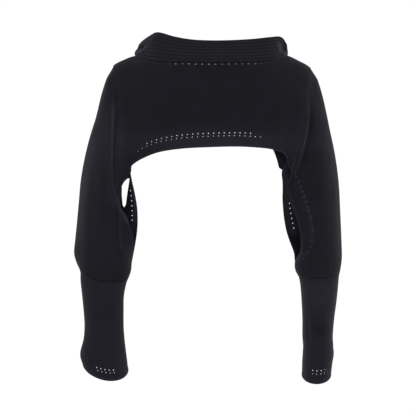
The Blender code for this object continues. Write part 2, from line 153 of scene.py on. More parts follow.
# ---- body panels
backPanelShape = {
    "side": -1, "centre": 104, "edge": 62, "eyeletsFrom": 100, "eyeletsTo": 320,
    "columns": [
        # hemX, hemZ, topX, topZ, topDepth, roundness
        (120.2, 204.5, 113.8, 65.9, 0, 2.5),
        (121.6, 196, 118.5, 63, 0, 2.5),
        (122.3, 188, 123.5, 60.7, 0, 2.5),
        (125, 182.3, 129, 58.3, 0, 2.4),
        (129.2, 178, 134, 56.8, 0, 2.3),
        (130, 170.8, 137.5, 56.2, 4, 2.1),
        (134.3, 164.9, 142, 58.8, 26, 1.8),
        (144.3, 158.8, 154, 62.2, 48, 1.6),
        (160, 153, 171, 63.6, 60, 1.6),
        (183, 149.6, 191, 64, 65, 1.6),
        (212, 148.1, 212, 64.2, 66, 1.6),
        (238, 147.6, 233, 64, 65, 1.6),
        (259, 148.7, 253, 63.7, 60, 1.6),
        (270, 150, 270, 62.2, 48, 1.6),
        (276, 151.7, 281.5, 58.8, 26, 1.8),
        (281.5, 153.4, 285.6, 56.2, 4, 2.1),
        (285.8, 158, 290, 57.2, 0, 2.3),
        (286.6, 164, 295, 59.6, 0, 2.4),
        (289.3, 170, 300, 62.2, 0, 2.5),
        (289.8, 175.5, 305.5, 65, 0, 2.5),
        (288.3, 182, 310.5, 68.6, 0, 2.5),
    ],
    # how far the armhole folds bow sideways, from the hem up: leftBow, rightBow
    "folds": [(0, 0), (-4.4, 4), (-5.4, 5.8), (-4.6, 7.4), (-3, 8.3),
              (-1.2, 7.2), (0, 4.4), (0.4, 1.2), (0.3, 0), (0, 0)],
    "creases": [
        # startX, startZ, endX, endZ, bend, spread, rise, side
        (121, 84, 121.5, 158, 0.5, 5.5, -1.1, -1),
        (117, 146, 128, 176, 1, 2.6, 0.8, -1),
        (118, 168, 126, 186, 0.5, 1.8, -1.2, -1),
        (299, 84, 298.5, 150, -2, 4.2, 0.8, -1),
        (291, 92, 283, 146, -2, 5, -0.8, -1),
        (298, 140, 288.5, 176, 1.2, 1.9, 1.9, -1),
        (282, 146, 291, 164, 0.8, 1.6, -1.8, -1),
        (286.5, 156, 292.5, 171, -0.6, 1.3, 1.5, -1),
        (168, 72, 178, 84, 0.5, 4.5, -0.7, -1),
        (243, 73, 233, 86, -0.5, 4, -0.6, -1),
    ],
}
frontPanelShape = {
    "side": 1, "centre": 110, "edge": 62, "eyeletsFrom": 146, "eyeletsTo": 266,
    "columns": [
        # hemX, hemZ, topX, topZ, topDepth, roundness
        (130.2, 172.5, 113.8, 65.9, 0, 2.5),
        (130.6, 166, 118.5, 63, 0, 2.5),
        (131.6, 160, 123.5, 60.7, 0, 2.5),
        (134, 154.5, 129, 58.3, 0, 2.4),
        (138, 149, 134, 56.8, 0, 2.3),
        (144, 143.5, 137.5, 56.2, 4, 2.1),
        (152.5, 138.3, 142.5, 60.5, 30, 1.8),
        (164, 133, 156, 71, 56, 1.6),
        (178, 129, 174, 81, 72, 1.6),
        (195, 126.7, 193, 86.5, 79, 1.6),
        (211.5, 126, 211.5, 88.2, 81, 1.6),
        (228, 126.7, 230, 86.5, 79, 1.6),
        (244, 129, 249, 81, 72, 1.6),
        (256, 133, 267, 71, 56, 1.6),
        (264.5, 138.3, 280.5, 60.5, 30, 1.8),
        (270.5, 143.5, 285.6, 56.2, 4, 2.1),
        (274, 149.5, 290, 57.2, 0, 2.3),
        (276.5, 155.5, 295, 59.6, 0, 2.4),
        (278.4, 161.5, 300, 62.2, 0, 2.5),
        (280, 167.5, 305.5, 65, 0, 2.5),
        (284.5, 170, 310.5, 68.6, 0, 2.5),
    ],
    "folds": [(0, 0), (-4, 6), (-6, 9), (-5, 8), (-2, 4), (0, 0)],
    "creases": [
        (120.5, 84, 121, 138, 1.2, 3.2, -2.3, 1),
        (133, 70, 150, 134, 3, 4.2, 1.6, 1),
        (146, 78, 163, 126, 2, 3.2, -1.5, 1),
        (176, 92, 181, 127, 1, 3, 1, 1),
        (236, 93, 229, 126, -1.5, 3.4, -1.2, 1),
        (262, 76, 252, 128, -2.5, 3.8, 1.7, 1),
        (279, 72, 270, 138, -2, 3.2, -1.5, 1),
        (298, 84, 290, 150, -2, 3.4, 1.6, 1),
    ],
}
shoulderFold = {"ridge": 1.2, "round": 2.2, "reach": 10.0, "from": 92.0, "to": 114.0}
# The form under both panels, in millimetres: where its sides round away and the rows that are
# laid near the neck seam. Points are evened along the cloth, but not near an edge.
panelForm = {
    "halfWidth": 198.0, "rounding": 2.4, "foldColumns": 5.0, "steps": 80, "borderMiddle": 25.0,
    "topRows": [12.5, 9.3, 6.2, 3.2, 0.7, 0.0], "middleRows": 31, "evenings": 90,
    "neckFrom": 4.8, "neckTo": 15.2, "pressFrom": 4.6, "pressTo": 15.4, "neckPress": 2.3,
    "seamPast": 0.35, "neckPast": 1.5,
}


def panelLine(panel, place):
    columns, folds = panel["columns"], panel["folds"]
    hemX, hemZ, topX, topZ, topDepth, roundness = spline(columns, place)
    topDepth = max(topDepth, 0.0)
    last = len(columns) - 1
    leftPull = max(0.0, 1.0 - place / panelForm["foldColumns"]) ** 2
    rightPull = max(0.0, 1.0 - (last - place) / panelForm["foldColumns"]) ** 2
    power = max(2.0, roundness)
    line = []
    for k in range(panelForm["steps"] + 1):
        height = math.sin(0.5 * math.pi * k / panelForm["steps"]) ** (2.0 / power)
        leftBow, rightBow = spline(folds, height * (len(folds) - 1))
        x = hemX + (topX - hemX) * height + leftBow * leftPull + rightBow * rightPull
        z = hemZ + (topZ - hemZ) * height
        reach = min(1.0, abs(across(x)) / panelForm["halfWidth"]) ** panelForm["rounding"]
        full = panel["centre"] + (panel["edge"] - panel["centre"]) * reach
        fullness = (1.0 - height ** power) ** (1.0 / roundness)
        depth = topDepth + (full - topDepth) * fullness
        line.append((across(x), panel["side"] * depth, upward(z)))
    return np.array(line)


def ridgeOver(distance, drawnZ):
    # the fold at an armhole stands proud below the shoulder and lies flush above it
    rounded = np.sqrt(1.0 - (1.0 - np.minimum(distance / shoulderFold["round"], 1.0)) ** 2)
    fading = 1.0 - smoothStep(distance, shoulderFold["round"], shoulderFold["reach"])
    return (shoulderFold["ridge"] * rounded * fading
            * smoothStep(drawnZ, shoulderFold["from"], shoulderFold["to"]))


def evened(grid, share, rounds):
    # each point moved towards the two beside it along the grid's columns
    grid = grid.copy()
    for _ in range(rounds):
        between = (grid[:-2] + 2.0 * grid[1:-1] + grid[2:]) / 4.0
        grid[1:-1] += share[1:-1, :, None] * (between - grid[1:-1])
    return grid


def panelGrid(panel):
    last = len(panel["columns"]) - 1
    samples = np.linspace(0.0, last, 8 * last + 1)
    lines = [panelLine(panel, place) for place in samples]
    border = np.array([atLengths(line, [panelForm["borderMiddle"]])[0] for line in lines])
    length = lengthsAlong(border)
    holes = round(length[-1] / eyelets["pitch"])
    spaced = np.linspace(0.0, length[-1], 3 * holes + 1)
    spaced = np.sort(np.concatenate([spaced, [0.9, 2.0, length[-1] - 2.0, length[-1] - 0.9]]))
    places = np.interp(spaced, length, samples)
    grid = []
    for place in places:
        line = panelLine(panel, place)
        total = lengthsAlong(line)[-1]
        rows = backBorder["rows"]
        upper = total - np.array(panelForm["topRows"])
        middle = np.linspace(rows[-1], upper[0], panelForm["middleRows"])[1:-1]
        points = atLengths(line, np.concatenate([rows, middle, upper]))
        # the edge runs on into the collar's seam, or a hair past the shoulder seam
        inNeck = smoothStep(min(place - panelForm["neckFrom"], panelForm["neckTo"] - place), 0.0, 0.6)
        past = panelForm["seamPast"] + panelForm["neckPast"] * inNeck
        grid.append(np.concatenate([points, points[-1:] + np.array([0.0, 0.0, past])]))
    grid = np.array(grid)
    fromLeft = runAlong(grid, 0)
    fromRight = fromLeft[-1] - fromLeft
    fromTop = runAlong(grid[:, ::-1], 1)[:, ::-1]
    fromHem = fromTop[:, :1] - fromTop
    share = smoothStep(np.minimum(fromLeft, fromRight), 10.0, 42.0)
    share = share * smoothStep(fromTop, 5.0, 26.0) * smoothStep(fromHem, 16.0, 60.0)
    grid = evened(grid, share, panelForm["evenings"])
    outward = outwardOf(grid, np.array([0.0, 0.0, upward(150.0)]))
    drawnZ = drawnAt(grid)[1]
    lift = softCreases(grid, outward, panel["creases"])
    lift *= smoothStep(fromLeft, 0.0, 8.0) * smoothStep(fromRight, 0.0, 8.0)
    lift *= smoothStep(fromTop, 2.0, 14.0)
    lift += ridgeOver(fromRight, drawnZ) * smoothStep(fromTop, 0.0, 20.0)
    lift += cloth["push"] + hemRoll(fromHem)
    # the cloth dips a little before it meets the collar
    inNeck = np.minimum(places - panelForm["pressFrom"], panelForm["pressTo"] - places)
    dip = panelForm["neckPress"] * smoothStep(inNeck, 0.0, 1.2)[:, None]
    lift -= dip * smoothStep(fromTop, 0.3, 4.2) * (1.0 - smoothStep(fromTop, 4.2, 17.0))
    grid = grid + outward * lift[..., None]
    flat = np.zeros(grid.shape[:2] + (2,))
    flat[..., 0] = np.median(fromLeft, axis=1)[:, None]
    flat[..., 1] = fromHem
    return grid, outward, flat, places, hemHighlight(fromHem)


# ---- sleeves
leftSleeveShape = {
    "seamPlace": 0.22, "outward": 1, "bowSide": 0, "eyeletRims": (0.15, 0.10),
    "frontRows": [0, 1, 3.3, 6, 8.9, 11.7, 14.5, 17.4, 20.3, 23.8, 27.6, 32, 37],
    "frontEyeletRow": 5, "frontEyeletsFrom": 190, "frontEyeletsTo": 222,
    "sections": [
        # outX, outZ, backX, backZ, backTurn, frontX, frontZ, frontTurn,
        # backDepth, frontDepth, sag, power, bow, backRise, frontRise
        (107.4, 76.5, 120.8, 205.8, 90, 130.5, 177, 90, 72, 72, 0, 2.5, 1.25, 4, 12),
        (101.9, 95, 121.4, 207.2, 90, 131.8, 183, 90, 73, 73, 0, 2.45, 1.6, 4, 10),
        (96.7, 117, 122.3, 208.6, 90, 133.5, 190, 90, 73, 73, 0, 2.4, 1.9, 3, 8),
        (90.8, 136, 123.4, 210.2, 90, 134.9, 197, 88, 72, 72, 0, 2.35, 2.1, 2, 6),
        (85.8, 156, 124.8, 212, 88, 136.1, 204, 84, 71, 71, 0, 2.3, 2.1, 1, 4),
        (81.4, 180, 126.4, 214.4, 84, 136.9, 212, 76, 69.5, 69, 0, 2.3, 1.8, 0, 2),
        (79.4, 202, 128.6, 219, 74, 137.1, 219, 62, 67.5, 67, 0, 2.2, 1.3, 0, 0),
        (77.6, 222, 131.4, 228, 58, 136.6, 229, 48, 65, 63, 0, 2.1, 0.7, 0, 0),
        (75.8, 240, 134, 241, 38, 134.9, 241, 30, 60, 58, 0, 2.1, 0.2, 0, 0),
        (74.7, 253, 132.6, 253, 16, 132.7, 253, 14, 54, 52, 1, 2, 0, 0, 0),
        (77.2, 262.5, 131.2, 262.5, 0.3, 130.9, 262.5, 0.3, 49, 48, 3, 2, 0, 0, 0),
        (80, 268.5, 130.2, 271.5, 0.3, 129.9, 271.5, 0.3, 44, 43, 5, 2, 0, 0, 0),
        (81.2, 273, 126.2, 281.6, 0.3, 126.2, 281.6, 0.3, 34, 34, 7, 2, 0, 0, 0),
    ],
    "creases": [
        # startX, startZ, endX, endZ, bend, spread, rise, side
        (119.3, 198, 121.8, 270, 0.8, 1.3, -2, -1),
        (122.6, 206, 125, 268, 1, 2.2, 1.2, -1),
        (89, 150, 84, 262, -1, 4.5, 1, -1),
        (79, 247, 88, 267, -1, 1.9, -0.8, -1),
        (90.5, 262, 91.5, 280, 0.3, 1.8, -0.6, -1),
        (104.5, 260, 102.8, 283, 0.3, 2.2, -0.7, -1),
        (117, 262, 115.2, 283, 0, 1.8, -0.6, -1),
        (128.5, 236, 122.5, 262, 1, 1.9, 0.8, -1),
        (112, 92, 96, 168, -3, 3.6, 1.8, 1),
        (119, 108, 104, 190, -3, 3, -1.8, 1),
        (124, 150, 113, 232, -2, 3.4, 1.7, 1),
        (88, 182, 86, 262, 0.5, 3.6, 1.4, 1),
        (98, 205, 95, 270, 0.5, 2.6, -1.5, 1),
        (108, 226, 104, 276, 0.3, 2.2, 1.3, 1),
        (90, 260, 90.5, 281, 0, 1.4, -1.1, 1),
        (99.5, 256, 99, 283, 0, 1.6, -1.2, 1),
        (106, 264, 107, 284, 0, 1.2, -0.9, 1),
        (116.5, 258, 114, 284, 0, 1.6, -1.3, 1),
    ],
}
rightSleeveShape = {
    "seamPlace": 19.75, "outward": -1, "bowSide": 1, "eyeletRims": (1.20, 0.25),
    "frontRows": [0, 1, 3.4, 6.8, 10.2, 13.2, 16, 18.8, 21.6, 24.6, 28, 32.2, 37.2],
    "frontEyeletRow": 6, "frontEyeletsFrom": 203, "frontEyeletsTo": 231,
    "sections": [
        (317, 79.5, 286, 183, 90, 282.3, 174, 90, 57.5, 57.5, 0, 2.5, 1.1, 18, 27),
        (321.4, 94, 285.6, 186, 90, 283.2, 182, 90, 59.5, 59.5, 0, 2.45, 1.15, 15, 24),
        (325.6, 112, 286, 189, 90, 283.3, 190, 90, 62, 62, 0, 2.4, 1.15, 12, 20),
        (329.2, 130, 286.8, 192.4, 90, 283.1, 198, 90, 64.5, 65, 0, 2.35, 1.1, 9, 16),
        (333.2, 148, 288, 196.4, 88, 283.5, 205.5, 88, 67, 67, 0, 2.3, 0.95, 6, 12),
        (336.4, 167, 289.8, 201.8, 85, 284.1, 213, 84, 68, 68, 0, 2.3, 0.75, 4, 8),
        (338.6, 188, 292.4, 209.4, 80, 285.1, 221, 76, 68, 68, 0, 2.3, 0.5, 2, 4),
        (339.6, 210, 295.6, 218.6, 72, 287.1, 231, 64, 67, 66, 0, 2.2, 0.2, 0, 2),
        (340.4, 228, 298.8, 229, 62, 290.1, 240, 50, 65, 63, 0, 2.1, 0, 0, 0),
        (341, 243, 300.8, 241.5, 46, 293.5, 248.5, 30, 61, 59, 0, 2, 0, 0, 0),
        (341.4, 254, 300.2, 252, 26, 295.3, 254.5, 12, 57, 56, 0, 2, 0, 0, 0),
        (340.8, 262.5, 295.6, 261.5, 0.3, 295.6, 261.5, 0.3, 53, 53, 1, 2, 0, 0, 0),
        (339.7, 269.5, 295.8, 269.5, 0.3, 295.8, 269.5, 0.3, 48, 48, 2, 2, 0, 0, 0),
        (338.2, 276.3, 299.4, 276.5, 0.3, 299.4, 276.5, 0.3, 40, 40, 3, 2, 0, 0, 0),
    ],
    "creases": [
        (330, 222, 314, 262, 1.5, 2.6, 0.5, -1),
        (325, 112, 330.5, 196, 1.5, 6, 0.5, -1),
        (311, 98, 308.5, 160, 1.5, 5, -0.9, -1),
        (334, 176, 335, 262, 0.5, 3.4, 0.8, -1),
        (302.5, 244, 299.5, 272, -0.8, 1.8, 0.8, -1),
        (306, 254, 303.5, 275, 0, 1.8, -0.7, -1),
        (317.5, 260, 317, 280, 0.3, 2, -0.6, -1),
        (332, 260, 330.5, 279, 0, 1.8, -0.6, -1),
        (318, 96, 327, 176, 2.5, 3.6, 1.8, 1),
        (309, 104, 318, 198, 3, 3, -1.8, 1),
        (296, 150, 311, 232, 2, 3.4, 1.6, 1),
        (331, 178, 334, 258, 0.5, 3.2, -1.4, 1),
        (316, 205, 322, 272, 0.5, 2.6, 1.5, 1),
        (303, 236, 309, 276, 0.3, 2.2, -1.4, 1),
        (306.5, 260, 306, 279, 0, 1.4, -1.1, 1),
        (314, 256, 314.5, 280, 0, 1.6, -1.2, 1),
        (322, 264, 321, 280, 0, 1.2, -0.9, 1),
        (331, 255, 329, 280, 0, 1.6, -1.2, 1),
    ],
}


# Steps round a half section, rows to its middle, where the sleeve begins to lie over or under
# the body, how far apart its rings are at the edges and elsewhere, and how often it is evened.
sleeveForm = {
    "steps": 80, "middleRows": 25, "overFrom": 88.0, "overTo": 110.0, "edgeSpacing": 4.3,
    "spacing": 7.0, "evenings": 6, "evenDown": 12, "evenAround": 6, "flatStart": 500.0,
}


def halfSection(row, behind, bowSide):
    (outX, outZ, backX, backZ, backTurn, frontX, frontZ, frontTurn,
     backDepth, frontDepth, sag, power, bow, backRise, frontRise) = row
    if behind:
        edgeX, edgeZ, turn, depth, side = backX, backZ, backTurn, backDepth, -1.0
        bows, rise = backPanelShape["folds"], backRise
    else:
        edgeX, edgeZ, turn, depth, side = frontX, frontZ, frontTurn, frontDepth, 1.0
        bows, rise = frontPanelShape["folds"], frontRise
    first = math.radians(turn)
    line = []
    for k in range(sleeveForm["steps"] + 1):
        angle = first + (math.pi - first) * k / sleeveForm["steps"]
        share = (math.cos(first) - math.cos(angle)) / (1.0 + math.cos(first))
        fullness = (1.0 - min(abs(math.cos(angle)), 1.0) ** power) ** (1.0 / power)
        x = across(edgeX) + (across(outX) - across(edgeX)) * share
        x += bow * spline(bows, share * (len(bows) - 1))[bowSide] * drawing["step"]
        z = upward(edgeZ) + (upward(outZ) - upward(edgeZ)) * share
        z += sag * side * math.sin(angle)
        reach = depth + rise * max(1.0 - share, 0.0) ** 4
        line.append((x, side * reach * fullness, z))
    return np.array(line)


def halfRows(line, rows):
    total = lengthsAlong(line)[-1]
    middle = np.linspace(min(rows[-1], 0.5 * total), total, sleeveForm["middleRows"])[1:]
    near = np.array(rows) * min(1.0, 0.5 * total / rows[-1])
    return atLengths(line, np.concatenate([near, middle]))


def rimHalf(panel, place, lift, rows):
    # one layer lies over the other below the shoulder, and both are flush above it
    near = max(place - 0.4, 0.0)
    lines = np.array([halfRows(panelLine(panel, k), rows) for k in (near, place, near + 0.8)])
    outward = outwardOf(lines, np.array([0.0, 0.0, upward(150.0)]))[1]
    over = smoothStep(drawnAt(lines[1])[1], sleeveForm["overFrom"], sleeveForm["overTo"])
    return lines[1] + outward * (lift * over)[:, None]


def sleeveLine(shape, rim, t):
    if t <= -1.0:
        return rim
    row = spline(shape["sections"], max(t, 0.0))
    behind = halfRows(halfSection(row, True, shape["bowSide"]), backBorder["rows"])
    before = halfRows(halfSection(row, False, shape["bowSide"]), shape["frontRows"])[::-1]
    line = np.concatenate([behind, before[1:]])
    return line * (1.0 + t) + rim * -t if t < 0.0 else line


def sleeveGrid(shape):
    lift = shape["outward"] * cloth["under"]
    place = shape["seamPlace"]
    rim = np.concatenate([rimHalf(backPanelShape, place, lift, backBorder["rows"]),
                          rimHalf(frontPanelShape, place, lift, shape["frontRows"])[-2::-1]])
    last = len(shape["sections"]) - 1
    samples = np.concatenate([np.linspace(-1.0, 0.0, 9)[:-1], np.linspace(0.0, last, 6 * last + 1)])
    lines = np.array([sleeveLine(shape, rim, t) for t in samples])
    step = np.linalg.norm(np.diff(lines, axis=0), axis=2)
    middle = step.shape[1] // 2
    edge, inner = sleeveForm["edgeSpacing"], sleeveForm["spacing"]
    spacing = np.max([step[:, 8] / edge, step[:, -9] / edge, step[:, middle] / inner,
                      step[:, middle // 2] / inner, step[:, -middle // 2] / inner], axis=0)
    weight = np.concatenate([[0.0], np.cumsum(spacing)])
    steps = np.linspace(0.0, weight[-1], int(math.ceil(weight[-1])) + 1)
    steps = np.sort(np.concatenate([steps, steps[:2] + 0.33 * steps[1], steps[:2] + 0.66 * steps[1]]))
    places = np.interp(steps, weight, samples)
    grid = np.array([sleeveLine(shape, rim, t) for t in places])
    fromRim = runAlong(grid, 0)
    fromElbow = fromRim[-1] - fromRim
    around = runAlong(grid, 1)
    fromEdge = np.minimum(around, around[:, -1:] - around)
    fromSide = 1.0 - 2.0 * fromEdge / around[:, -1:]
    share = smoothStep(fromRim, 2.0, 9.0) * smoothStep(fromElbow, 4.0, 30.0)
    share = share * smoothStep(1.0 - fromSide, 0.04, 0.30) * smoothStep(fromSide, 0.03, 0.30)
    for _ in range(sleeveForm["evenings"]):
        grid = evened(grid, share, sleeveForm["evenDown"])
        grid = evened(grid.transpose(1, 0, 2), share.T, sleeveForm["evenAround"]).transpose(1, 0, 2)
    core = np.mean(grid, axis=1, keepdims=True)
    outward = outwardOf(grid, core)
    drawnZ = drawnAt(grid)[1]
    lift = softCreases(grid, outward, shape["creases"])
    lift *= smoothStep(fromRim, 0.0, 10.0) * smoothStep(fromElbow, 0.0, 4.0)
    if shape["outward"] > 0.0:
        lift += ridgeOver(fromRim, drawnZ)
    around = runAlong(grid, 1)
    fromEdge = np.minimum(around, around[:, -1:] - around)
    slit = smoothStep(np.linalg.norm(grid[:, 0] - grid[:, -1], axis=1), 1.0, 14.0)[:, None]
    lift += cloth["push"] + hemRoll(fromEdge) * slit
    grid = grid + outward * lift[..., None]
    flat = np.zeros(grid.shape[:2] + (2,))
    girth = runAlong(grid[..., :2], 1)
    flat[..., 0] = girth - girth[:, grid.shape[1] // 2:grid.shape[1] // 2 + 1]
    flat[..., 1] = grid[..., 2] + sleeveForm["flatStart"]
    return grid, outward, flat, hemHighlight(fromEdge) * slit


# ---- cuffs
leftCuffShape = {
    "inner": -1, "eyeletsFrom": 96, "eyeletsTo": 117,
    "edgeRows": [34, 28.3, 25, 22, 19.2, 16.4, 13.4, 9, 4.5, 1.2, 0],
    "rings": [
        # leftX, leftZ, rightX, rightZ, depth, sag
        (81.2, 273, 126.2, 281.6, 34, 7),
        (81.2, 281, 124.8, 287, 33, 3),
        (82.6, 294, 123.2, 297, 32, 0),
        (84.2, 310, 123, 310, 31, 0),
        (85.2, 326, 123, 325, 31, 0),
        (84, 340, 123.8, 338, 31, 2),
        (81.3, 350, 125.2, 350, 32, 8),
        (81, 356.5, 126.4, 360, 33, 16),
        (83.6, 362.6, 127.6, 370.5, 33, 26.5),
    ],
    "creases": [
        (90, 272, 89, 290, 0, 1.6, -0.5, -1),
        (99.5, 276, 100.5, 299, 0.3, 2, -0.6, -1),
        (114, 278, 112.5, 297, 0.3, 2, -0.6, -1),
        (86, 332, 97, 345, 1.5, 3, -0.8, -1),
        (122, 334, 112, 350, -1, 2.8, 0.7, -1),
        (84.5, 341, 91, 366, 1, 2.4, 1, -1),
        (92, 276, 92, 300, 0, 1.6, -1.2, 1),
        (102, 278, 101, 296, 0, 1.3, -0.9, 1),
        (113, 280, 110, 306, 0.5, 1.8, -1.3, 1),
        (119, 318, 96, 328, -1.5, 2.6, 1.2, 1),
        (118, 326, 98, 337, -1.5, 2.2, -1.3, 1),
        (88, 345, 104, 352, 1, 2, 1.2, 1),
    ],
}
rightCuffShape = {
    "inner": 1, "eyeletsFrom": 309.5, "eyeletsTo": 330,
    "edgeRows": [38, 32.6, 29.6, 26.6, 23.3, 20, 16.8, 11, 5, 1.2, 0],
    "rings": [
        (299.4, 276.5, 338.2, 276.3, 40, 3),
        (300.9, 284, 337.6, 284, 39, 1),
        (302.2, 300, 336, 300, 40, 0),
        (303, 318, 333.6, 318, 40, 0),
        (303, 335, 332.2, 335, 40, 0),
        (303.8, 346, 332.6, 347, 40, 2),
        (303.4, 353, 333.2, 353.5, 40, 6),
        (302.8, 362, 331.8, 362, 40, 12),
        (302.6, 375, 330.2, 374.5, 39, 17),
    ],
    "creases": [
        (307.6, 309, 309.8, 349, 0.4, 1.2, -1.8, -1),
        (311.2, 312, 312.8, 347, 0.4, 1.9, 0.7, -1),
        (308, 276, 308.4, 292, 0, 1.8, -0.6, -1),
        (319, 275, 319.6, 296, 0, 1.9, -0.5, -1),
        (329, 275, 328, 299, 0.3, 2, -0.6, -1),
        (333.5, 341, 322, 352, -1, 2.2, 0.8, -1),
        (303.5, 346, 311, 358, 0.8, 2, 0.8, -1),
        (308, 277, 309, 302, 0, 1.6, -1.2, 1),
        (318, 277, 317, 296, 0, 1.3, -0.9, 1),
        (328, 277, 326, 306, 0.5, 1.8, -1.2, 1),
        (306, 322, 326, 334, 1.5, 2.4, 1.2, 1),
        (308, 331, 329, 343, 1.5, 2, -1.3, 1),
    ],
}


# Steps round a ring, rows at the elbow and from there to the edge's own rows.
cuffForm = {"steps": 160, "elbowRows": [0.0, 1.5, 4.0], "middleRows": 38}


def cuffRing(row, inner):
    leftX, leftZ, rightX, rightZ, depth, sag = row
    line = []
    for k in range(cuffForm["steps"] + 1):
        angle = 2.0 * math.pi * k / cuffForm["steps"]
        share = 0.5 - 0.5 * inner * math.cos(angle)
        behind = math.sin(angle)
        x = across(leftX) + (across(rightX) - across(leftX)) * share
        z = upward(leftZ) + (upward(rightZ) - upward(leftZ)) * share - sag * behind
        line.append((x, -depth * behind, z))
    return np.array(line)


def cuffGrid(shape):
    rings, inner = shape["rings"], shape["inner"]
    # a little longer at the elbow than the solid, so that the seam closes
    samples = np.linspace(-0.06, len(rings) - 1, 8 * (len(rings) - 1) + 1)
    lines = [cuffRing(spline(rings, t), inner) for t in samples]
    around = lengthsAlong(lines[-10])[-1]
    holes = round(around / eyelets["cuffPitch"])
    columns = 3 * holes
    tube = np.array([atLengths(line, np.linspace(0.0, lengthsAlong(line)[-1], columns + 1)[:-1])
                     for line in lines]).transpose(1, 0, 2)
    grid = []
    for line in tube:
        total = lengthsAlong(line)[-1]
        edge = total - np.array(shape["edgeRows"])
        upper = np.array(cuffForm["elbowRows"])
        middle = np.linspace(upper[-1], edge[0], cuffForm["middleRows"])[1:-1]
        grid.append(atLengths(line, np.concatenate([upper, middle, edge])))
    grid = np.array(grid)
    core = np.mean(grid, axis=0, keepdims=True)
    outward = outwardOf(grid, core, closed=True)
    along = runAlong(grid, 1)
    fromEdge = along[:, -1:] - along
    lift = softCreases(grid, outward, shape["creases"]) * smoothStep(along, 0.0, 4.0)
    lift += cloth["push"] + hemRoll(fromEdge)
    grid = grid + outward * lift[..., None]
    flat = np.zeros(grid.shape[:2] + (2,))
    flat[..., 0] = (np.arange(columns) * around / columns)[:, None]
    flat[..., 1] = -along
    return grid, outward, flat, around, hemHighlight(fromEdge)


# ---- collar
collarShape = {
    "wall": 4.4, "ribs": 7, "ribHeight": 1.5, "sections": 190, "ribSteps": 6, "innerRows": 9,
    "sectionWidth": 3.2, "ribHighlight": 0.30, "grooveShade": 0.17, "shade": 0.20, "shine": 0.55,
    "middle": (211.5, 5), "backLift": 0.4, "frontLift": 0.6, "cornerReach": 25,
    "tops": [
        # topX, topZ, topDepth, from the middle of the back round by the right
        (212, 42.1, -76), (233, 41.7, -74), (253, 40.4, -69),
        (270, 38.3, -57), (279.7, 37.5, -36), (284.4, 41.8, -14),
        (285, 46.4, 4), (281.4, 51.6, 30), (266, 60.9, 60),
        (248, 65.6, 78), (230, 68.2, 86), (211.5, 69, 88),
        (193, 67.6, 86), (175, 64, 78), (158, 56.5, 60),
        (143, 49, 30), (139.4, 45.6, 5), (143.1, 41.2, -14),
        (150.4, 36.5, -36), (158.6, 33.5, -56), (174, 37.9, -68),
        (192, 41.1, -74),
    ],
    # Pockets (+) and rims (-) where the band rolls over at its two ends, each along a short
    # line on the drawing: startX, startZ, endX, endZ, spread, depth away from the camera.
    "pockets": [
        (282.4, 44.6, 282.8, 50.2, 2.3, 8), (277.6, 43.5, 278.4, 50.5, 1.2, -1.6),
        (278.6, 51.5, 286, 54.2, 1.2, -1.4),
        (138.6, 50, 143.6, 47.4, 1.7, 7), (137.2, 54.6, 142.2, 51.4, 1.1, -1.8),
        (142.2, 51.4, 147.2, 46.6, 1, -1.6),
    ],
    # where the outline swells sideways: x, z, spread, width
    "swells": [(137.6, 52.8, 3.2, -3), (285.8, 52.2, 2.8, 0.8)],
}


def neckLoop():
    behind = [(c[2], c[3], -c[4]) for c in backPanelShape["columns"]]
    before = [(c[2], c[3], c[4]) for c in frontPanelShape["columns"]]
    return behind[10:16] + before[15:4:-1] + behind[5:10]


def pocketAt(shape, x, z):
    depth = 0.0
    for startX, startZ, endX, endZ, spread, amount in shape["pockets"]:
        dx, dz = endX - startX, endZ - startZ
        part = ((x - startX) * dx + (z - startZ) * dz) / (dx * dx + dz * dz)
        part = min(max(part, 0.0), 1.0)
        away = math.hypot(x - startX - part * dx, z - startZ - part * dz)
        depth += amount * math.exp(-(away / spread) ** 4)
    return depth


